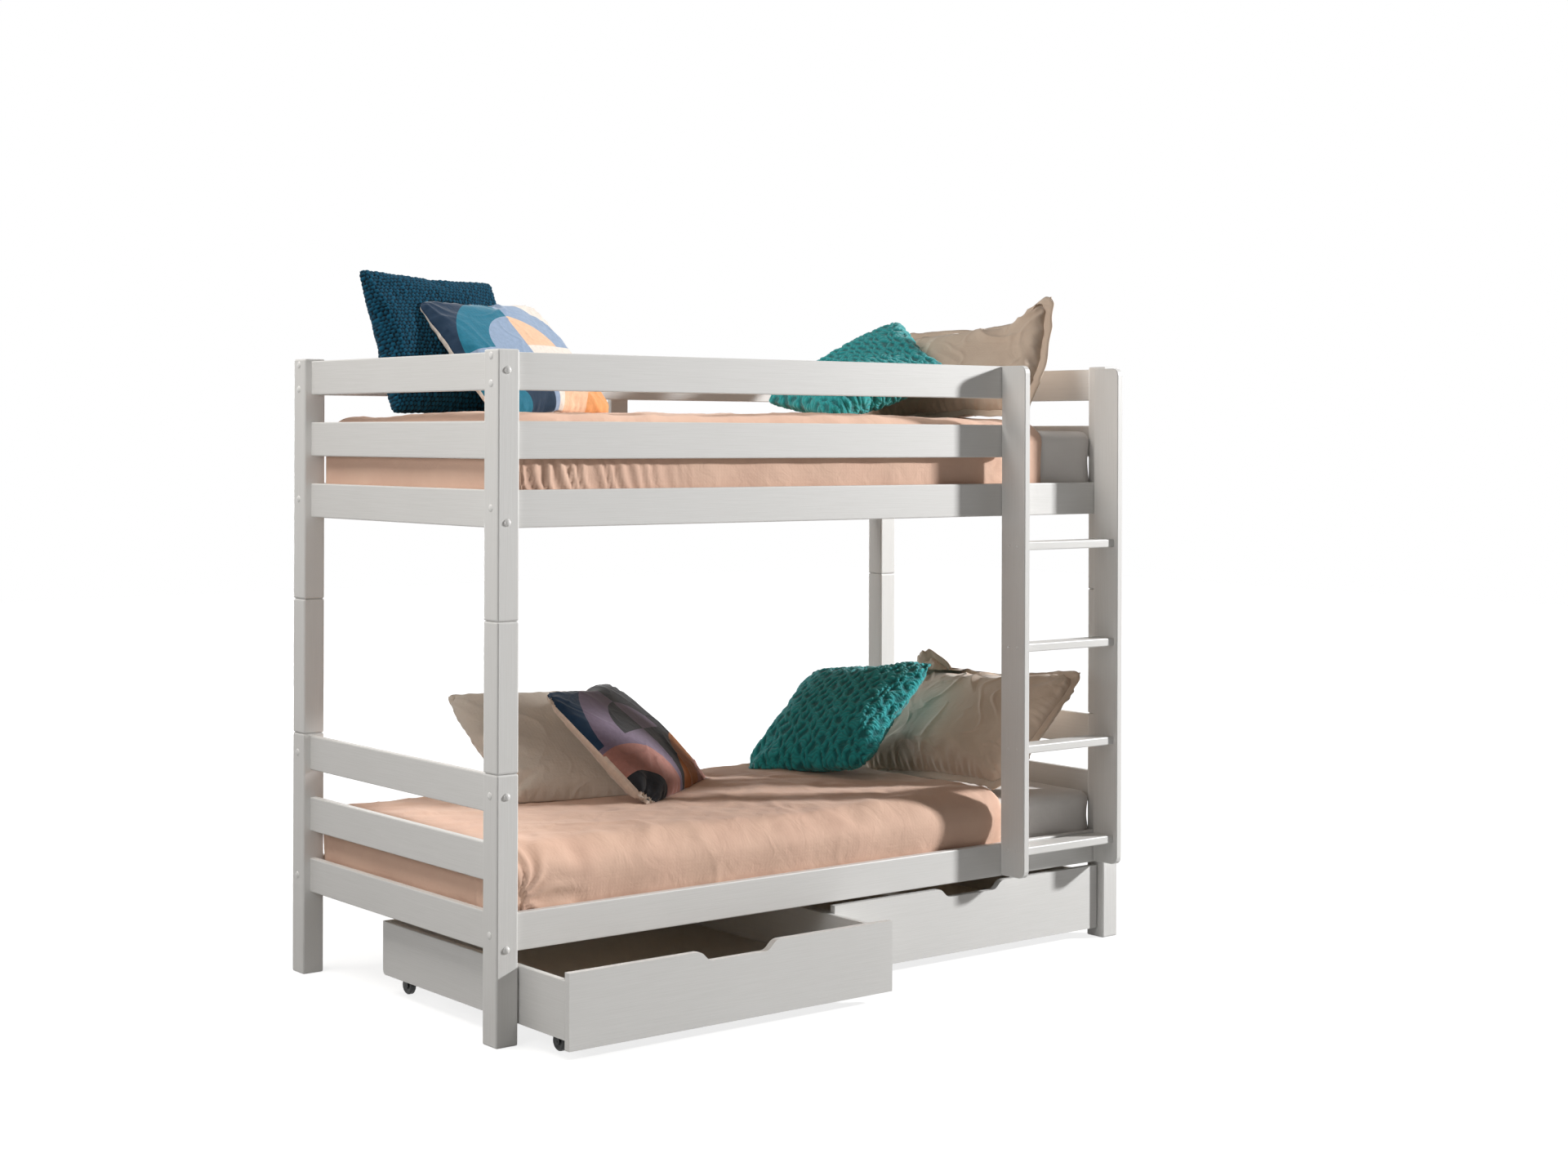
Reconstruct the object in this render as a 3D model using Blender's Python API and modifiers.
"""A bunk bed of white painted pine with two rolling drawers and its bedding.

Metres, +Z up. The bed stands on Z = 0, its length runs along X and its front
faces -Y. The origin is on the floor, under the middle of the whole object
with the left drawer standing open.
"""

import math

import bmesh
import bpy
from mathutils import Matrix, Vector

for old in list(bpy.data.objects):
    bpy.data.objects.remove(old, do_unlink=True)

# Clearances
SEAT_GAP = 0.0003
FUSE_OVERLAP = 0.0005

# Bed frame
BED_LENGTH = 2.080
BED_WIDTH = 0.980
POST_SIZE = 0.060
POST_EDGE = 0.0045
POST_HEIGHT = 0.625
SPACER_HEIGHT = 0.350
RAIL_HEIGHT = 0.088
RAIL_THICKNESS = 0.020
RAIL_EDGE = 0.003
RAIL_TENON = 0.012
FIRST_RAIL_RISE = 0.213
TOP_RAIL_DROP = 0.006
BATTEN_WIDTH = 0.060
BATTEN_THICKNESS = 0.020
LEDGER_DEPTH = 0.025
LEDGER_HEIGHT = 0.035
LEDGER_RISE = 0.011
LEDGER_END_GAP = 0.020

# Ladder
LADDER_INNER_WIDTH = 0.344
STILE_THICKNESS = 0.020
STILE_DEPTH = 0.088
STILE_FOOT_GAP = 0.003
STILE_CORNER = 0.020
STILE_EDGE = 0.002
TREAD_COUNT = 4
TREAD_FIRST_RISE = 0.276
TREAD_PITCH = 0.2738
TREAD_DEPTH = 0.062
TREAD_THICKNESS = 0.022
TREAD_SETBACK = 0.013
TREAD_EDGE = 0.003

# Slatted bases
SLAT_COUNT = 14
SLAT_WIDTH = 0.070
SLAT_THICKNESS = 0.018
SLAT_END_GAP = 0.003
SLAT_POST_GAP = 0.006
TAPE_WIDTH = 0.020
TAPE_THICKNESS = 0.0015
TAPE_INSET = 0.150

# Drawers
DRAWER_POST_GAP = 0.004
DRAWER_MIDDLE_GAP = 0.004
DRAWER_DEPTH = 0.820
DRAWER_FRONT_RISE = 0.027
DRAWER_TOP_GAP = 0.011
DRAWER_FRONT_THICKNESS = 0.018
DRAWER_BOX_RISE = 0.0485
DRAWER_BOX_DROP = 0.019
DRAWER_SIDE_THICKNESS = 0.016
DRAWER_BACK_THICKNESS = 0.016
DRAWER_BACK_CORNER = 0.013
DRAWER_BOARD_EDGE = 0.0015
DRAWER_BOTTOM_THICKNESS = 0.006
DRAWER_BOTTOM_RISE = 0.010
GROOVE_DEPTH = 0.005
HANDLE_TOP_WIDTH = 0.248
HANDLE_BOTTOM_WIDTH = 0.155
HANDLE_DEPTH = 0.024
LEFT_DRAWER_PULL = 0.220
RIGHT_DRAWER_PULL = 0

# Casters under the drawers
WHEEL_RADIUS = 0.0225
WHEEL_WIDTH = 0.016
WHEEL_EDGE = 0.003
WHEEL_RECESS = 0.003
WHEEL_RECESS_RADIUS = 0.016
AXLE_RADIUS = 0.003
FORK_SIDE_GAP = 0.0008
FORK_CHEEK_THICKNESS = 0.0025
FORK_CHEEK_WIDTH = 0.020
FORK_CHEEK_DROP = 0.008
FORK_PLATE_THICKNESS = 0.003
FORK_PLATE_LENGTH = 0.046
FORK_PLATE_WIDTH = 0.038
CASTER_SIDE_INSET = 0.050
CASTER_FRONT_INSET = 0.088
CASTER_REAR_INSET = 0.045

# Mattresses and duvets
MATTRESS_END_GAP = 0.015
MATTRESS_SIDE_GAP = 0.016
LOWER_MATTRESS_THICKNESS = 0.128
UPPER_MATTRESS_THICKNESS = 0.166
MATTRESS_CORNER_CLEARANCE = 0.0136
MATTRESS_ROLL = 0.030
MATTRESS_CROWN = 0.010
MATTRESS_WAIST = 0.004
DUVET_CLEARANCE = 0.0006
DUVET_SIDE_CLEARANCE = 0.002
DUVET_SKIRT = 0.0065
DUVET_SKIRT_WAVE = 0.002
DUVET_LOFT = 0.028
DUVET_WAVE = 0.006
DUVET_HEM_RISE = 0.006
UPPER_DUVET_HEM_GAP = 0.230
LOWER_DUVET_HEM_GAP = 0.380
# Waves per bed length and per bed width: the first folds, the second folds, the gathers
FOLD_WAVE_COUNTS = (2.1, 0.7)
SECOND_FOLD_WAVE_COUNTS = (1.3, -1.4)
GATHER_WAVE_COUNTS = (9, 2.5)
SECOND_FOLD_SHARE = 0.6
LOWER_FOLD_PHASE = 0.6
UPPER_FOLD_PHASE = 2.2

# Pillows and cushions
PILLOW_SINK = 0.008
PILLOW_SEAM = 0.003
PILLOW_GAP = 0.0005
PILLOW_UNDER_REACH = 0.0025

CUSHION_WIDTH = 0.450
# Width, height and thickness of each pillow, as shares of a plain cushion's width
PILLOW_SIZE_SHARES = {
    "pillow_petrol_knit": (1.038, 0.893, 0.278),
    "pillow_printed_upper": (0.964, 0.916, 0.256),
    "pillow_teal_upper": (0.944, 0.944, 0.289),
    "pillow_taupe_upper": (1.167, 0.867, 0.333),
    "pillow_printed_lower": (1.013, 0.918, 0.256),
    "pillow_off_white": (1.056, 0.991, 0.289),
    "pillow_teal_lower": (0.996, 0.996, 0.289),
    "pillow_taupe_lower": (1.333, 0.922, 0.333),
    "pillow_taupe_back": (1.022, 0.711, 0.222),
}
# Which end of the bed a pillow lies at, then its distance from that end and from the back of the
# bed, as shares of the same width
PILLOW_PLACE_SHARES = {
    "pillow_petrol_knit": (-1, 0.834, 0.288),
    "pillow_printed_upper": (-1, 1.206, 0.500),
    "pillow_teal_upper": (1, 1.186, 1.125),
    "pillow_taupe_upper": (1, 0.511, 1.300),
    "pillow_printed_lower": (-1, 1.870, 0.736),
    "pillow_off_white": (-1, 1.512, 0.489),
    "pillow_teal_lower": (1, 1.072, 0.767),
    "pillow_taupe_lower": (1, 0.490, 1.289),
    "pillow_taupe_back": (1, 0.256, 1.056),
}
# Yaw, lean from lying flat, and spin, in degrees
PILLOW_TURNS = {
    "pillow_petrol_knit": (12.0, 68.0, -1.7),
    "pillow_printed_upper": (14.0, 46.0, 1.7),
    "pillow_teal_upper": (-89.0, 31.7, 71.0),
    "pillow_taupe_upper": (-84.0, 42.0, 24.0),
    "pillow_printed_lower": (34.2, 41.8, -1.8),
    "pillow_off_white": (-5.8, 34.4, -3.6),
    "pillow_teal_lower": (-87.5, 37.1, 11.9),
    "pillow_taupe_lower": (-101.0, 42.0, 4.5),
    "pillow_taupe_back": (-93.0, 80.0, -8.0),
}
# How far the middle of each side is drawn in, as a share of the half size
PILLOW_PINCH_SHARE = 0.070
# How much fuller the lower half of a leaning pillow is
PILLOW_SLUMP_SHARE = 0.150
# Power of the crown of a pillow: 1 gives a round middle, less gives a fuller rim
PILLOW_CROWN_POWER = 0.9
# Pillows that lie beyond the hem of the duvet
ON_THE_SHEET = ("pillow_taupe_lower", "pillow_taupe_back")
# Pillows that touch one another, in the order in which they are laid
PILLOW_GROUPS = {
    "lower": (("pillow_printed_lower", "pillow_off_white"),
              ("pillow_teal_lower", "pillow_taupe_lower", "pillow_taupe_back")),
    "upper": (("pillow_printed_upper", "pillow_petrol_knit"),
              ("pillow_teal_upper", "pillow_taupe_upper")),
}
# Pieces of the frame that a pillow leans on
PILLOW_BACKING = {
    "pillow_petrol_knit": ("guard_back_top", "guard_back_middle"),
    "pillow_printed_upper": ("guard_back_top", "guard_back_middle"),
    "pillow_taupe_upper": ("upper_right_end",),
    "pillow_off_white": ("lower_side_rail_back",),
    "pillow_taupe_lower": ("lower_right_end",),
    "pillow_taupe_back": ("lower_right_end",),
}
PILLOW_FINISHES = {
    "petrol": "petrol_knit",
    "teal": "teal_knit",
    "taupe": "taupe_cotton",
    "off_white": "off_white_cotton",
    "printed": "printed_cotton",
}

# Places worked out from the sizes above
BED_LEFT = -BED_LENGTH / 2
BED_RIGHT = BED_LENGTH / 2
RAIL_SETBACK = (POST_SIZE - RAIL_THICKNESS) / 2
RAIL_STACK = FIRST_RAIL_RISE + 3 * RAIL_HEIGHT + TOP_RAIL_DROP
RAIL_GAP = (POST_HEIGHT - RAIL_STACK) / 2
STILE_RISE = FIRST_RAIL_RISE + STILE_FOOT_GAP
DRAWER_PROUD = LEFT_DRAWER_PULL - RAIL_SETBACK
BED_FRONT = -(BED_WIDTH - DRAWER_PROUD) / 2
BED_BACK = BED_FRONT + BED_WIDTH
BED_MIDDLE = (BED_FRONT + BED_BACK) / 2
POST_INNER_LEFT = BED_LEFT + POST_SIZE
POST_INNER_RIGHT = BED_RIGHT - POST_SIZE
LOWER_BASE = 0
SPACER_BASE = POST_HEIGHT
UPPER_BASE = POST_HEIGHT + SPACER_HEIGHT
FRONT_RAIL_FACE = BED_FRONT + RAIL_SETBACK
FRONT_RAIL_BACK = FRONT_RAIL_FACE + RAIL_THICKNESS
BACK_RAIL_FACE = BED_BACK - RAIL_SETBACK
BACK_RAIL_FRONT = BACK_RAIL_FACE - RAIL_THICKNESS
STILE_RIGHT_X = POST_INNER_RIGHT - SEAT_GAP - STILE_THICKNESS
STILE_LEFT_X = STILE_RIGHT_X - LADDER_INNER_WIDTH - STILE_THICKNESS
STILE_BACK = FRONT_RAIL_FACE - SEAT_GAP
LEDGER_TOP_RISE = FIRST_RAIL_RISE + LEDGER_RISE + LEDGER_HEIGHT
SLAT_TOP_RISE = LEDGER_TOP_RISE + SEAT_GAP + SLAT_THICKNESS
MATTRESS_FOOT_RISE = SLAT_TOP_RISE + SEAT_GAP
# The mattress fills the frame but for its gaps; its corners are rounded enough to pass the posts
MATTRESS_LENGTH = BED_LENGTH - 2 * (RAIL_SETBACK + RAIL_THICKNESS + MATTRESS_END_GAP)
MATTRESS_WIDTH = BED_WIDTH - 2 * (RAIL_SETBACK + RAIL_THICKNESS + MATTRESS_SIDE_GAP)
POST_REACH = POST_SIZE - RAIL_SETBACK - RAIL_THICKNESS
DIAGONAL = math.sqrt(2)
MATTRESS_CORNER = ((MATTRESS_CORNER_CLEARANCE + DIAGONAL * (POST_REACH - MATTRESS_END_GAP))
                   / (DIAGONAL - 1))
DUVET_THIN = DUVET_SKIRT - DUVET_SKIRT_WAVE
DUVET_THICK = DUVET_LOFT + DUVET_WAVE
DRAWER_TOP = FIRST_RAIL_RISE - DRAWER_TOP_GAP
DRAWER_FRONT_HEIGHT = DRAWER_TOP - DRAWER_FRONT_RISE
DRAWER_BOX_HEIGHT = DRAWER_TOP - DRAWER_BOX_DROP - DRAWER_BOX_RISE
DRAWER_WIDTH = (POST_INNER_RIGHT - POST_INNER_LEFT - DRAWER_MIDDLE_GAP) / 2 - DRAWER_POST_GAP
AXLE_HEIGHT = WHEEL_RADIUS + SEAT_GAP

# Facet counts
EDGE_STEPS = 2
CORNER_STEPS = 3
WHEEL_STEPS = 16
AXLE_STEPS = 8
HANDLE_STEPS = 6
MATTRESS_ROLL_STEPS = 3
MATTRESS_MIDDLE_ROWS = (4, 2)
DUVET_MIDDLE_ROWS = (16, 6)
PILLOW_ROWS = 8

# Edges that a bevel takes as arrises, and facets that count as one flat face, in degrees
ARRIS_ANGLE = 80
FLAT_ANGLE = 1

# Finishes: colour in linear light, roughness, metallic
FINISHES = {
    "white_paint": ((0.84, 0.84, 0.82), 0.45, 0),
    "bare_pine": ((0.72, 0.52, 0.32), 0.60, 0),
    "hardboard": ((0.80, 0.79, 0.76), 0.55, 0),
    "dark_plastic": ((0.03, 0.03, 0.032), 0.40, 0),
    "sheet_cotton": ((0.82, 0.81, 0.80), 0.85, 0),
    "peach_cotton": ((0.72, 0.41, 0.29), 0.85, 0),
    "petrol_knit": ((0.010, 0.085, 0.135), 0.95, 0),
    "teal_knit": ((0.010, 0.260, 0.240), 0.95, 0),
    "taupe_cotton": ((0.42, 0.30, 0.22), 0.85, 0),
    "off_white_cotton": ((0.70, 0.62, 0.55), 0.85, 0),
    "printed_cotton": ((0.30, 0.32, 0.42), 0.85, 0),
}

parts = bpy.data.collections.new("bunk_bed")
cutters = bpy.data.collections.new("cutters")
bpy.context.scene.collection.children.link(parts)
bpy.context.scene.collection.children.link(cutters)


def material(name, finish):
    """A material of its own for one piece."""
    colour, roughness, metallic = FINISHES[finish]
    made = bpy.data.materials.new(name)
    made.use_nodes = True
    shader = made.node_tree.nodes["Principled BSDF"]
    shader.inputs["Base Color"].default_value = (*colour, 1)
    shader.inputs["Roughness"].default_value = roughness
    shader.inputs["Metallic"].default_value = metallic
    return made


def file_away(obj, finish):
    """Puts an object among the parts with its finish, or among the cutters when it has none."""
    if finish:
        parts.objects.link(obj)
        obj.data.materials.append(material(obj.name, finish))
    else:
        cutters.objects.link(obj)
        obj.hide_render = True
        obj.display_type = "WIRE"


def from_bmesh(name, bm, centre, finish):
    """An object at centre from a bmesh built round the origin."""
    mesh = bpy.data.meshes.new(name)
    bm.to_mesh(mesh)
    bm.free()
    obj = bpy.data.objects.new(name, mesh)
    obj.location = centre
    file_away(obj, finish)
    return obj


def edge_axis(edge):
    """The axis, 0 to 2, that an edge of a box runs along."""
    run = edge.verts[0].co - edge.verts[1].co
    return max(range(3), key=lambda axis: abs(run[axis]))


def round_edges(bm, edges, radius, steps):
    """Rounds some edges of a bmesh."""
    bmesh.ops.bevel(bm, geom=edges, offset=radius, segments=steps, profile=0.5, affect="EDGES")


def block(low, high):
    """A bmesh box of the size between two corners, and its centre."""
    bm = bmesh.new()
    bmesh.ops.create_cube(bm, size=1)
    bmesh.ops.scale(bm, vec=Vector(high) - Vector(low), verts=bm.verts)
    return bm, (Vector(high) + Vector(low)) / 2


def board(name, low, high, finish=None, edge=0, along=None, steps=EDGE_STEPS):
    """A board between two corners, with all edges rounded or only those along one axis."""
    bm, centre = block(low, high)
    if edge:
        chosen = [e for e in bm.edges if along is None or edge_axis(e) == along]
        round_edges(bm, chosen, edge, steps)
    return from_bmesh(name, bm, centre, finish)


def settle_facets(obj):
    """Splits a soft piece into triangles, so that its copies bend along the same lines."""
    obj.modifiers.new("facets", "TRIANGULATE")


def mirror_under(obj):
    """Adds the lower half of a piece whose upper half is open at its own mid-plane."""
    other_half = obj.modifiers.new("other_half", "MIRROR")
    other_half.use_axis = (False, False, True)
    other_half.merge_threshold = 0.00001
    settle_facets(obj)


def boolean(obj, operation, operand):
    """Joins or cuts one object with another."""
    step = obj.modifiers.new(operand.name, "BOOLEAN")
    step.operation = operation
    step.solver = "EXACT"
    step.object = operand


def rail_bottom(base, index):
    """Underside of a rail: 0 is the side rail, 1 and 2 are the ones above it."""
    return base + FIRST_RAIL_RISE + index * (RAIL_HEIGHT + RAIL_GAP)


def end_frame(name, left, base):
    """Two posts and three rails, glued up as one frame."""
    low_z = base + SEAT_GAP if base else 0
    posts = []
    for place, front in (("front", BED_FRONT), ("back", BED_BACK - POST_SIZE)):
        low = (left, front, low_z)
        high = (left + POST_SIZE, front + POST_SIZE, base + POST_HEIGHT)
        finish = None if posts else "white_paint"
        label = name + "_post_" + place if posts else name
        posts.append(board(label, low, high, finish, POST_EDGE))
    frame = posts[0]
    boolean(frame, "UNION", posts[1])
    for index in range(3):
        bottom = rail_bottom(base, index)
        low = (left + RAIL_SETBACK, BED_FRONT + POST_SIZE - RAIL_TENON, bottom)
        high = (low[0] + RAIL_THICKNESS, BED_BACK - POST_SIZE + RAIL_TENON, bottom + RAIL_HEIGHT)
        rail = board(f"{name}_rail_{index}", low, high, None, RAIL_EDGE, along=1)
        boolean(frame, "UNION", rail)


def spacer_post(name, left, front):
    """The loose length of post between the two beds."""
    low = (left, front, SPACER_BASE + SEAT_GAP)
    high = (left + POST_SIZE, front + POST_SIZE, UPPER_BASE)
    board(name, low, high, "white_paint", POST_EDGE)


def long_rail(name, left, right, face, bottom):
    """A rail along the bed, its front face at the given Y."""
    low = (left, face, bottom)
    high = (right, face + RAIL_THICKNESS, bottom + RAIL_HEIGHT)
    board(name, low, high, "white_paint", RAIL_EDGE, along=0)


def ledger(name, low_y, base):
    """The strip inside a side rail that the slats lie on."""
    bottom = base + FIRST_RAIL_RISE + LEDGER_RISE
    low = (POST_INNER_LEFT + LEDGER_END_GAP, low_y, bottom)
    high = (POST_INNER_RIGHT - LEDGER_END_GAP, low_y + LEDGER_DEPTH, bottom + LEDGER_HEIGHT)
    board(name, low, high, "white_paint", STILE_EDGE, along=0, steps=1)


def slat_base(name, base):
    """A row of slats held at their distance by two tapes under them."""
    bottom = base + LEDGER_TOP_RISE + SEAT_GAP
    first = POST_INNER_LEFT + SLAT_POST_GAP
    last = POST_INNER_RIGHT - SLAT_POST_GAP - SLAT_WIDTH
    pitch = (last - first) / (SLAT_COUNT - 1)
    slat_low_y = FRONT_RAIL_BACK + SLAT_END_GAP
    slat_high_y = BACK_RAIL_FRONT - SLAT_END_GAP
    slats = bmesh.new()
    for index in range(SLAT_COUNT):
        low = Vector((first + index * pitch, slat_low_y, bottom))
        high = low + Vector((SLAT_WIDTH, slat_high_y - slat_low_y, SLAT_THICKNESS))
        made = bmesh.ops.create_cube(slats, size=1)["verts"]
        bmesh.ops.scale(slats, vec=high - low, verts=made)
        bmesh.ops.translate(slats, vec=(low + high) / 2, verts=made)
    row = from_bmesh(name, slats, (0, 0, 0), "bare_pine")
    tape_top = bottom + FUSE_OVERLAP
    for side, low_y in (("front", slat_low_y + TAPE_INSET),
                        ("back", slat_high_y - TAPE_INSET - TAPE_WIDTH)):
        low = (first + TAPE_WIDTH, low_y, tape_top - TAPE_THICKNESS)
        high = (last + SLAT_WIDTH - TAPE_WIDTH, low_y + TAPE_WIDTH, tape_top)
        boolean(row, "UNION", board(f"{name}_tape_{side}", low, high))


def ladder_stile(name, left):
    """An upright board set edge-on to the bed, its two front corners well rounded."""
    top = rail_bottom(UPPER_BASE, 2) + RAIL_HEIGHT
    low = (left, STILE_BACK - STILE_DEPTH, STILE_RISE)
    high = (left + STILE_THICKNESS, STILE_BACK, top)
    bm, centre = block(low, high)
    front_corners = [e for e in bm.edges if edge_axis(e) == 0 and e.verts[0].co.y < 0]
    round_edges(bm, front_corners, STILE_CORNER, CORNER_STEPS)
    rims = [e for e in bm.edges if e.calc_face_angle() > math.radians(ARRIS_ANGLE)]
    round_edges(bm, rims, STILE_EDGE, 1)
    from_bmesh(name, bm, centre, "white_paint")


def ladder_tread(name, index):
    """A flat tread between the stiles."""
    bottom = TREAD_FIRST_RISE + index * TREAD_PITCH
    front = STILE_BACK - STILE_DEPTH + TREAD_SETBACK
    low = (STILE_LEFT_X + STILE_THICKNESS + SEAT_GAP, front, bottom)
    high = (STILE_RIGHT_X - SEAT_GAP, front + TREAD_DEPTH, bottom + TREAD_THICKNESS)
    board(name, low, high, "white_paint", TREAD_EDGE, along=0)


def handle_outline(bottom, top):
    """Outline of a drawer front: a plain board with a shallow hand cut-out in its top edge."""
    half = DRAWER_WIDTH / 2
    wide = HANDLE_TOP_WIDTH / 2
    narrow = HANDLE_BOTTOM_WIDTH / 2
    sweep = (wide - narrow) / 2
    floor = top - HANDLE_DEPTH
    corner = (0, 0)
    return [
        ((-half, bottom), corner, corner),
        ((half, bottom), corner, corner),
        ((half, top), corner, corner),
        ((wide, top), corner, (-sweep, 0)),
        ((narrow, floor), (sweep, 0), corner),
        ((-narrow, floor), corner, (-sweep, 0)),
        ((-wide, top), (sweep, 0), corner),
        ((-half, top), corner, corner),
    ]


def curve_plate(name, outline, thickness, finish):
    """A flat plate from an outline of points with the offsets of their two handles."""
    curve = bpy.data.curves.new(name, "CURVE")
    curve.dimensions = "2D"
    curve.fill_mode = "BOTH"
    curve.extrude = thickness / 2
    curve.resolution_u = HANDLE_STEPS
    spline = curve.splines.new("BEZIER")
    spline.bezier_points.add(len(outline) - 1)
    spline.use_cyclic_u = True
    for point, (place, before, after) in zip(spline.bezier_points, outline):
        point.co = (*place, 0)
        point.handle_left_type = "FREE" if any(before) else "VECTOR"
        point.handle_right_type = "FREE" if any(after) else "VECTOR"
        if any(before):
            point.handle_left = point.co + Vector((*before, 0))
        if any(after):
            point.handle_right = point.co + Vector((*after, 0))
    source = bpy.data.objects.new(name + "_outline", curve)
    bpy.context.scene.collection.objects.link(source)
    evaluated = source.evaluated_get(bpy.context.evaluated_depsgraph_get())
    mesh = bpy.data.meshes.new_from_object(evaluated)
    bpy.data.objects.remove(source, do_unlink=True)
    bm = bmesh.new()
    bm.from_mesh(mesh)
    bpy.data.meshes.remove(mesh)
    bmesh.ops.remove_doubles(bm, verts=bm.verts, dist=FUSE_OVERLAP / 10)
    bmesh.ops.dissolve_limit(bm, angle_limit=math.radians(FLAT_ANGLE), verts=bm.verts, edges=bm.edges)
    bmesh.ops.recalc_face_normals(bm, faces=bm.faces)
    return from_bmesh(name, bm, (0, 0, 0), finish)


def hang_from(empty, children):
    """Parents objects to an empty and leaves them where they are."""
    bpy.context.view_layer.update()
    for child in children:
        child.parent = empty
        child.matrix_parent_inverse = empty.matrix_world.inverted()


def empty_at(name, place):
    """An empty on a joint's axis."""
    empty = bpy.data.objects.new(name, None)
    empty.location = place
    parts.objects.link(empty)
    return empty


def wheel(name, centre):
    """A caster wheel with a recessed web, turned about its axle along X."""
    half = WHEEL_WIDTH / 2
    bore = AXLE_RADIUS + SEAT_GAP
    web = half - WHEEL_RECESS
    profile = [
        (WHEEL_RADIUS - WHEEL_EDGE, half),
        (WHEEL_RADIUS, half - WHEEL_EDGE),
        (WHEEL_RADIUS, WHEEL_EDGE - half),
        (WHEEL_RADIUS - WHEEL_EDGE, -half),
        (WHEEL_RECESS_RADIUS, -half),
        (bore, -web),
        (bore, web),
        (WHEEL_RECESS_RADIUS, half),
    ]
    bm = bmesh.new()
    ring = [bm.verts.new((radius, 0, height)) for radius, height in profile]
    for index, vert in enumerate(ring):
        bm.edges.new((ring[index - 1], vert))
    obj = from_bmesh(name, bm, centre, "dark_plastic")
    obj.rotation_euler = (0, math.pi / 2, 0)
    turn = obj.modifiers.new("turned", "SCREW")
    turn.axis = "Z"
    turn.angle = math.tau
    turn.steps = WHEEL_STEPS
    turn.render_steps = WHEEL_STEPS
    turn.use_merge_vertices = True
    turn.merge_threshold = 0.00001
    turn.use_smooth_shade = True
    return obj


def fork_pieces(name, axles, underside):
    """Plates, cheeks and axles of all casters of a drawer, each kind in one mesh."""
    plates, cheeks, pins = bmesh.new(), bmesh.new(), bmesh.new()
    plate_top = underside + FUSE_OVERLAP
    plate_bottom = underside - FORK_PLATE_THICKNESS
    reach = WHEEL_WIDTH / 2 + FORK_SIDE_GAP
    for axle in axles:
        axle = Vector(axle)
        low = axle - Vector((FORK_PLATE_WIDTH / 2, FORK_PLATE_LENGTH / 2, axle.z - plate_bottom))
        high = axle + Vector((FORK_PLATE_WIDTH / 2, FORK_PLATE_LENGTH / 2, plate_top - axle.z))
        add_block(plates, low, high)
        for side in (-1, 1):
            inner = axle.x + side * reach
            outer = inner + side * FORK_CHEEK_THICKNESS
            low = (min(inner, outer), axle.y - FORK_CHEEK_WIDTH / 2, axle.z - FORK_CHEEK_DROP)
            high = (max(inner, outer), axle.y + FORK_CHEEK_WIDTH / 2, plate_bottom + FUSE_OVERLAP)
            made = add_block(cheeks, low, high)
            foot = [e for v in made for e in v.link_edges
                    if edge_axis(e) == 0 and v.co.z < axle.z]
            round_edges(cheeks, list(set(foot)), FORK_CHEEK_DROP, EDGE_STEPS)
        half = reach + FORK_CHEEK_THICKNESS + FUSE_OVERLAP
        turned = Matrix.Translation(axle) @ Matrix.Rotation(math.pi / 2, 4, "Y")
        bmesh.ops.create_cone(pins, cap_ends=True, segments=AXLE_STEPS, radius1=AXLE_RADIUS,
                              radius2=AXLE_RADIUS, depth=2 * half, matrix=turned)
    return [from_bmesh(name + "_plates", plates, (0, 0, 0), None),
            from_bmesh(name + "_cheeks", cheeks, (0, 0, 0), None),
            from_bmesh(name + "_axles", pins, (0, 0, 0), None)]


def add_block(bm, low, high):
    """Adds a box between two corners to a bmesh and gives its corners back."""
    low, high = Vector(low), Vector(high)
    made = bmesh.ops.create_cube(bm, size=1)["verts"]
    bmesh.ops.scale(bm, vec=high - low, verts=made)
    bmesh.ops.translate(bm, vec=(low + high) / 2, verts=made)
    return made


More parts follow.
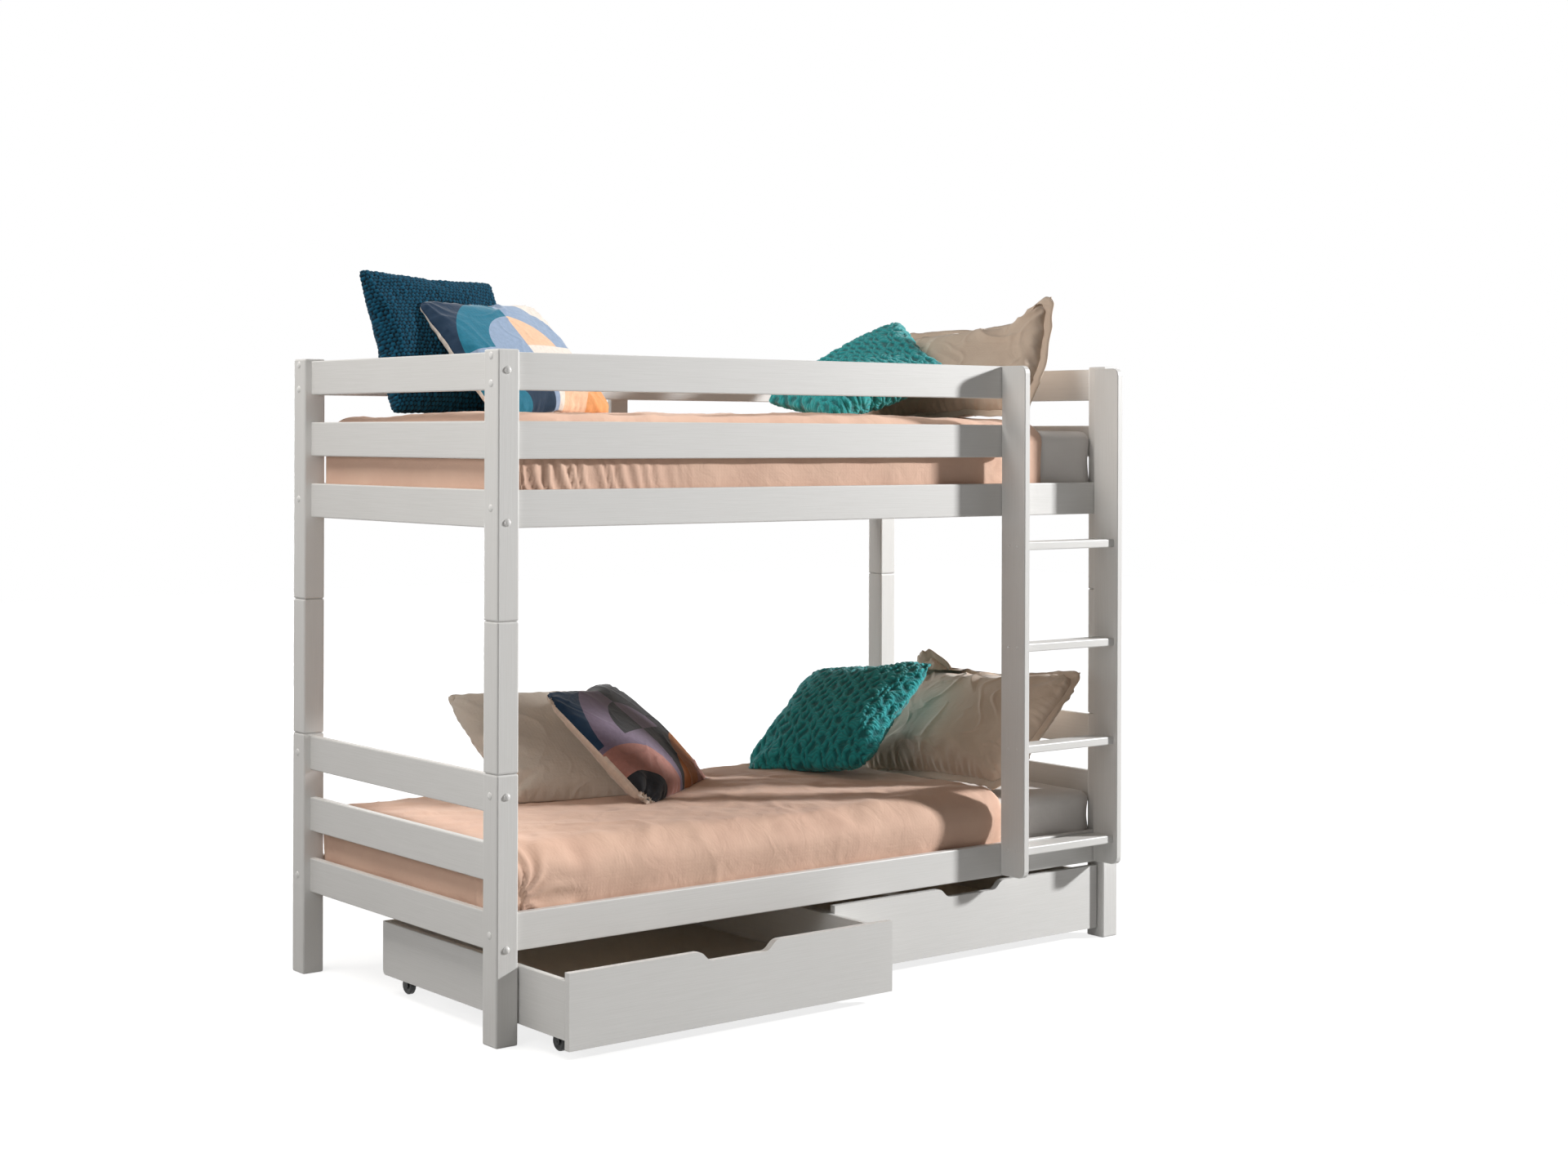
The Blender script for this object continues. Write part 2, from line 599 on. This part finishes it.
def drawer(name, left, pull):
    """One rolling drawer: front, two sides, back, and a grooved-in bottom on four casters."""
    right = left + DRAWER_WIDTH
    middle = (left + right) / 2
    front = FRONT_RAIL_FACE - pull
    box_front = front + DRAWER_FRONT_THICKNESS + SEAT_GAP
    rear = front + DRAWER_DEPTH
    box_rear = rear - DRAWER_BACK_THICKNESS - SEAT_GAP
    box_top = DRAWER_BOX_RISE + DRAWER_BOX_HEIGHT
    slide = empty_at(name + "_slide", (middle, front, DRAWER_BOX_RISE))

    outline = handle_outline(0, DRAWER_FRONT_HEIGHT)
    face = curve_plate(name + "_front", outline, DRAWER_FRONT_THICKNESS, "white_paint")
    face.location = (middle, front + DRAWER_FRONT_THICKNESS / 2, DRAWER_FRONT_RISE)
    face.rotation_euler = (math.pi / 2, 0, 0)
    sides = []
    for side, low_x in (("left", left), ("right", right - DRAWER_SIDE_THICKNESS)):
        low = (low_x, box_front, DRAWER_BOX_RISE)
        high = (low_x + DRAWER_SIDE_THICKNESS, box_rear, box_top)
        sides.append(board(f"{name}_side_{side}", low, high, "white_paint",
                           DRAWER_BOARD_EDGE, along=1, steps=1))
    back_bm, back_centre = block((left, rear - DRAWER_BACK_THICKNESS, DRAWER_BOX_RISE),
                                 (right, rear, box_top))
    heel = [e for e in back_bm.edges
            if edge_axis(e) == 0 and e.verts[0].co.y > 0 and e.verts[0].co.z < 0]
    round_edges(back_bm, heel, DRAWER_BACK_CORNER, CORNER_STEPS)
    back = from_bmesh(name + "_back", back_bm, back_centre, "white_paint")

    underside = DRAWER_BOX_RISE + DRAWER_BOTTOM_RISE
    inset = DRAWER_SIDE_THICKNESS - GROOVE_DEPTH
    low = Vector((left + inset, box_front - GROOVE_DEPTH, underside))
    high = Vector((right - inset, box_rear + GROOVE_DEPTH, underside + DRAWER_BOTTOM_THICKNESS))
    bottom = board(name + "_bottom", low, high, "hardboard")
    gap = Vector((SEAT_GAP, SEAT_GAP, SEAT_GAP))
    groove = board(name + "_groove", low - gap, high + gap)
    for piece in (face, back, *sides):
        boolean(piece, "DIFFERENCE", groove)

    axles = []
    for x in (left + CASTER_SIDE_INSET, right - CASTER_SIDE_INSET):
        for y in (box_front + CASTER_FRONT_INSET, rear - CASTER_REAR_INSET):
            axles.append((x, y, AXLE_HEIGHT))
    forks = fork_pieces(name + "_fork", axles, underside)
    for kind in forks:
        boolean(bottom, "UNION", kind)
    wheels = [wheel(f"{name}_wheel_{number}", axle) for number, axle in enumerate(axles, 1)]
    hang_from(slide, [face, back, bottom, groove, *sides, *forks, *wheels])


def rim_steps(corner, roll, drop):
    """Distances over the rim of a padded block: flat strip, rolled edge, then the side."""
    flat = corner - roll
    steps = [flat + roll * math.pi / 2 * index / MATTRESS_ROLL_STEPS
             for index in range(MATTRESS_ROLL_STEPS + 1)]
    return steps + [steps[-1] + drop]


def rows(half, corner, steps, middle, stop=None):
    """Places of the grid lines across a cloth laid over a block, up to an early stop."""
    inner = half - corner
    far = [-inner - step for step in reversed(steps)]
    if stop is None:
        return far + [inner * (2 * i / middle - 1) for i in range(middle + 1)] + [-x for x in reversed(far)]
    return far + [-inner + (stop + inner) * i / middle for i in range(middle + 1)]


def drape(x, y, half_x, half_y, corner, roll):
    """Where a point of flat cloth comes to lie over a rounded block: plan place and drop."""
    near_x = max(corner - half_x, min(half_x - corner, x))
    near_y = max(corner - half_y, min(half_y - corner, y))
    away = Vector((x - near_x, y - near_y))
    reach = max(abs(away.x), abs(away.y))
    if reach == 0:
        return x, y, 0
    away.normalize()
    flat = corner - roll
    turn = min(max(reach - flat, 0) / roll, math.pi / 2)
    out = min(reach, flat) + roll * math.sin(turn)
    drop = roll * (1 - math.cos(turn)) + max(reach - flat - roll * math.pi / 2, 0)
    return near_x + away.x * out, near_y + away.y * out, drop


def crown(x, y):
    """Rise of a mattress top over its edge."""
    across = max(0, 1 - (2 * x / MATTRESS_LENGTH) ** 2)
    along = max(0, 1 - (2 * y / MATTRESS_WIDTH) ** 2)
    return MATTRESS_CROWN * math.sqrt(across * along)


def cloth_grid(columns, lines):
    """A bmesh grid whose lines stand at the given places, flat at Z = 0."""
    bm = bmesh.new()
    bmesh.ops.create_grid(bm, x_segments=len(columns) - 1, y_segments=len(lines) - 1, size=1)
    for vert in bm.verts:
        column = round((vert.co.x + 1) / 2 * (len(columns) - 1))
        line = round((vert.co.y + 1) / 2 * (len(lines) - 1))
        vert.co = (columns[column], lines[line], 0)
    return bm


def lengthen_rim(bm, height):
    """Carries the open rim of a padded shape straight down or up to a height."""
    rim = [e for e in bm.edges if e.is_boundary]
    added = bmesh.ops.extrude_edge_only(bm, edges=rim)["geom"]
    for vert in [g for g in added if isinstance(g, bmesh.types.BMVert)]:
        vert.co.z = height


def mattress(name, base, thickness):
    """A crowned foam block with rolled top edges, its sides drawn in at mid height."""
    middle = thickness / 2
    steps = rim_steps(MATTRESS_CORNER, MATTRESS_ROLL, middle - MATTRESS_ROLL)
    half_x, half_y = MATTRESS_LENGTH / 2, MATTRESS_WIDTH / 2
    bm = cloth_grid(rows(half_x, MATTRESS_CORNER, steps, MATTRESS_MIDDLE_ROWS[0]),
                    rows(half_y, MATTRESS_CORNER, steps, MATTRESS_MIDDLE_ROWS[1]))
    for vert in bm.verts:
        x, y, drop = drape(vert.co.x, vert.co.y, half_x, half_y, MATTRESS_CORNER, MATTRESS_ROLL)
        vert.co = (x, y, thickness - drop + crown(x, y))
    waist = [v for v in bm.verts if v.is_boundary]
    lengthen_rim(bm, 0)
    for vert in waist:
        vert.co.x -= math.copysign(MATTRESS_WAIST, vert.co.x)
        vert.co.y -= math.copysign(MATTRESS_WAIST, vert.co.y)
    bmesh.ops.contextual_create(bm, geom=[e for e in bm.edges if e.is_boundary])
    bmesh.ops.recalc_face_normals(bm, faces=bm.faces)
    place = (0, BED_MIDDLE, base + MATTRESS_FOOT_RISE)
    obj = from_bmesh(name, bm, place, "sheet_cotton")
    settle_facets(obj)
    return obj


def smooth_step(value):
    """Eases from 0 to 1."""
    value = max(0, min(1, value))
    return value * value * (3 - 2 * value)


def wave(along, across, counts, phase):
    """A plane wave over the bed."""
    return math.sin(math.tau * (counts[0] * along + counts[1] * across) + phase)


def duvet_thickness(x, y, drop, phase):
    """Thickness of the duvet: soft folds on top, gathers down the sides."""
    along = x / MATTRESS_LENGTH
    across = y / MATTRESS_WIDTH
    folds = wave(along, across, FOLD_WAVE_COUNTS, phase)
    folds += SECOND_FOLD_SHARE * wave(along, across, SECOND_FOLD_WAVE_COUNTS, 2 * phase)
    top = DUVET_LOFT + DUVET_WAVE * folds / (1 + SECOND_FOLD_SHARE)
    skirt = DUVET_SKIRT + DUVET_SKIRT_WAVE * wave(along, across, GATHER_WAVE_COUNTS, phase)
    return top + (skirt - top) * smooth_step(drop / MATTRESS_ROLL)


def duvet(name, base, thickness, hem_gap, phase):
    """A quilt laid over a mattress and tucked down inside the rails on three sides."""
    side = DUVET_SIDE_CLEARANCE
    half_x, half_y = MATTRESS_LENGTH / 2 + side, MATTRESS_WIDTH / 2 + side
    corner, roll = MATTRESS_CORNER + side, MATTRESS_ROLL + side
    drop = thickness - MATTRESS_ROLL - DUVET_HEM_RISE
    steps = rim_steps(corner, roll, drop / 2)
    steps.append(steps[-1] + drop / 2)
    bm = cloth_grid(rows(half_x, corner, steps, DUVET_MIDDLE_ROWS[0], half_x - hem_gap),
                    rows(half_y, corner, steps, DUVET_MIDDLE_ROWS[1]))
    weights = []
    for vert in bm.verts:
        x, y, drop = drape(vert.co.x, vert.co.y, half_x, half_y, corner, roll)
        vert.co = (x, y, DUVET_CLEARANCE - drop + crown(x, y))
        loft = duvet_thickness(x, y, drop, phase)
        weights.append((loft - DUVET_THIN) / (DUVET_THICK - DUVET_THIN))
    place = (0, BED_MIDDLE, base + MATTRESS_FOOT_RISE + thickness)
    obj = from_bmesh(name, bm, place, "peach_cotton")
    loft = obj.vertex_groups.new(name="loft")
    for index, weight in enumerate(weights):
        loft.add([index], max(0, min(1, weight)), "REPLACE")
    fill = obj.modifiers.new("fill", "SOLIDIFY")
    fill.thickness = DUVET_THICK
    fill.offset = 1
    fill.vertex_group = loft.name
    fill.thickness_vertex_group = DUVET_THIN / DUVET_THICK
    settle_facets(obj)
    return obj


def swell(distance, half):
    """Height share of a pillow at a distance from its middle line, 1 there and 0 at the seam."""
    return math.sqrt(max(0, 1 - (distance / half) ** 2))


def pillow_shape(width, height, thickness):
    """The front half of a pillow: crowned, with its sides drawn in between the corners."""
    half_w, half_h = width / 2, height / 2
    angles = [math.pi * i / PILLOW_ROWS for i in range(PILLOW_ROWS + 1)]
    bm = cloth_grid([-half_w * math.cos(a) for a in angles], [-half_h * math.cos(a) for a in angles])
    for vert in bm.verts:
        x, y, _ = vert.co
        share_x, share_y = x / half_w, y / half_h
        full = (swell(x, half_w) * swell(y, half_h)) ** PILLOW_CROWN_POWER * (1 - PILLOW_SLUMP_SHARE * share_y)
        vert.co.x = x * (1 - PILLOW_PINCH_SHARE * (1 - share_y ** 2) * share_x ** 2)
        vert.co.y = y * (1 - PILLOW_PINCH_SHARE * (1 - share_x ** 2) * share_y ** 2)
        vert.co.z = PILLOW_SEAM + (thickness / 2 - PILLOW_SEAM) * full
    lengthen_rim(bm, 0)
    bmesh.ops.recalc_face_normals(bm, faces=bm.faces)
    return bm


def swollen_copy(obj, growth):
    """A slightly larger copy of a soft piece, to press its shape into another."""
    copy = obj.copy()
    copy.name = obj.name + "_press"
    cutters.objects.link(copy)
    copy.hide_render = True
    copy.display_type = "WIRE"
    grow = copy.modifiers.new("grow", "DISPLACE")
    grow.mid_level = 0
    grow.strength = growth
    return copy


def pillow(name, rest_height, pressed_by):
    """A pillow leaning on the bed, its mid-plane's lowest corner a little under the cloth."""
    width, height, thickness = (share * CUSHION_WIDTH for share in PILLOW_SIZE_SHARES[name])
    end, share_x, share_y = PILLOW_PLACE_SHARES[name]
    yaw, lean, spin = (math.radians(angle) for angle in PILLOW_TURNS[name])
    turn = Matrix.Rotation(yaw, 4, "Z") @ Matrix.Rotation(lean, 4, "X") @ Matrix.Rotation(spin, 4, "Z")
    corners = [turn @ Vector((sx * width / 2, sy * height / 2, 0)) for sx in (-1, 1) for sy in (-1, 1)]
    reach_down = -min(corner.z for corner in corners)
    place = (end * (BED_LENGTH / 2 - share_x * CUSHION_WIDTH), BED_BACK - share_y * CUSHION_WIDTH,
             rest_height - PILLOW_SINK + reach_down)
    finish = next(value for key, value in PILLOW_FINISHES.items() if key in name)
    obj = from_bmesh(name, pillow_shape(width, height, thickness), place, finish)
    obj.rotation_euler = turn.to_euler()
    mirror_under(obj)
    for press in pressed_by:
        boolean(obj, "DIFFERENCE", press)
    return obj


# Frame
end_frame("lower_left_end", BED_LEFT, LOWER_BASE)
end_frame("lower_right_end", POST_INNER_RIGHT, LOWER_BASE)
end_frame("upper_left_end", BED_LEFT, UPPER_BASE)
end_frame("upper_right_end", POST_INNER_RIGHT, UPPER_BASE)
for end, post_left in (("left", BED_LEFT), ("right", POST_INNER_RIGHT)):
    spacer_post("spacer_post_front_" + end, post_left, BED_FRONT)
    spacer_post("spacer_post_back_" + end, post_left, BED_BACK - POST_SIZE)

# Rails along the bed
RAIL_LEFT = POST_INNER_LEFT + SEAT_GAP
RAIL_RIGHT = POST_INNER_RIGHT - SEAT_GAP
GUARD_RIGHT = STILE_LEFT_X + STILE_THICKNESS
for bed, base in (("lower", LOWER_BASE), ("upper", UPPER_BASE)):
    for face_name, face in (("front", FRONT_RAIL_FACE), ("back", BACK_RAIL_FRONT)):
        long_rail(f"{bed}_side_rail_{face_name}", RAIL_LEFT, RAIL_RIGHT, face, rail_bottom(base, 0))
    ledger(f"ledger_{bed}_front", FRONT_RAIL_BACK + SEAT_GAP, base)
    ledger(f"ledger_{bed}_back", BACK_RAIL_FRONT - SEAT_GAP - LEDGER_DEPTH, base)
    slat_base("slat_base_" + bed, base)
for level, index in (("middle", 1), ("top", 2)):
    guard_bottom = rail_bottom(UPPER_BASE, index)
    long_rail("guard_front_" + level, RAIL_LEFT, GUARD_RIGHT, FRONT_RAIL_FACE, guard_bottom)
    long_rail("guard_back_" + level, RAIL_LEFT, RAIL_RIGHT, BACK_RAIL_FRONT, guard_bottom)
board("guard_back_batten",
      (-BATTEN_WIDTH / 2, BACK_RAIL_FACE + SEAT_GAP, rail_bottom(UPPER_BASE, 0)),
      (BATTEN_WIDTH / 2, BACK_RAIL_FACE + BATTEN_THICKNESS,
       rail_bottom(UPPER_BASE, 2) + RAIL_HEIGHT),
      "white_paint", RAIL_EDGE, along=2)

# Ladder
ladder_stile("ladder_stile_left", STILE_LEFT_X)
ladder_stile("ladder_stile_right", STILE_RIGHT_X)
for step in range(TREAD_COUNT):
    ladder_tread(f"ladder_tread_{step + 1}", step)

# Drawers
drawer("drawer_left", POST_INNER_LEFT + DRAWER_POST_GAP, LEFT_DRAWER_PULL)
drawer("drawer_right", DRAWER_MIDDLE_GAP / 2, RIGHT_DRAWER_PULL)

# Bedding
for bed, base, thickness, hem_gap, phase in (
        ("lower", LOWER_BASE, LOWER_MATTRESS_THICKNESS, LOWER_DUVET_HEM_GAP, LOWER_FOLD_PHASE),
        ("upper", UPPER_BASE, UPPER_MATTRESS_THICKNESS, UPPER_DUVET_HEM_GAP, UPPER_FOLD_PHASE)):
    under = mattress("mattress_" + bed, base, thickness)
    cover = duvet("duvet_" + bed, base, thickness, hem_gap, phase)
    cover_press = swollen_copy(cover, PILLOW_GAP)
    sheet_press = swollen_copy(under, PILLOW_GAP)
    core_press = swollen_copy(under, PILLOW_UNDER_REACH)
    sheet_rest = base + MATTRESS_FOOT_RISE + thickness + MATTRESS_CROWN
    for group in PILLOW_GROUPS[bed]:
        presses = []
        for name in group:
            on_sheet = name in ON_THE_SHEET
            rest = sheet_rest if on_sheet else sheet_rest + DUVET_LOFT
            laid_on = [cover_press, sheet_press if on_sheet else core_press]
            backing = [swollen_copy(bpy.data.objects[piece], PILLOW_GAP)
                       for piece in PILLOW_BACKING.get(name, ())]
            made = pillow(name, rest, laid_on + presses + backing)
            presses.append(swollen_copy(made, PILLOW_GAP))
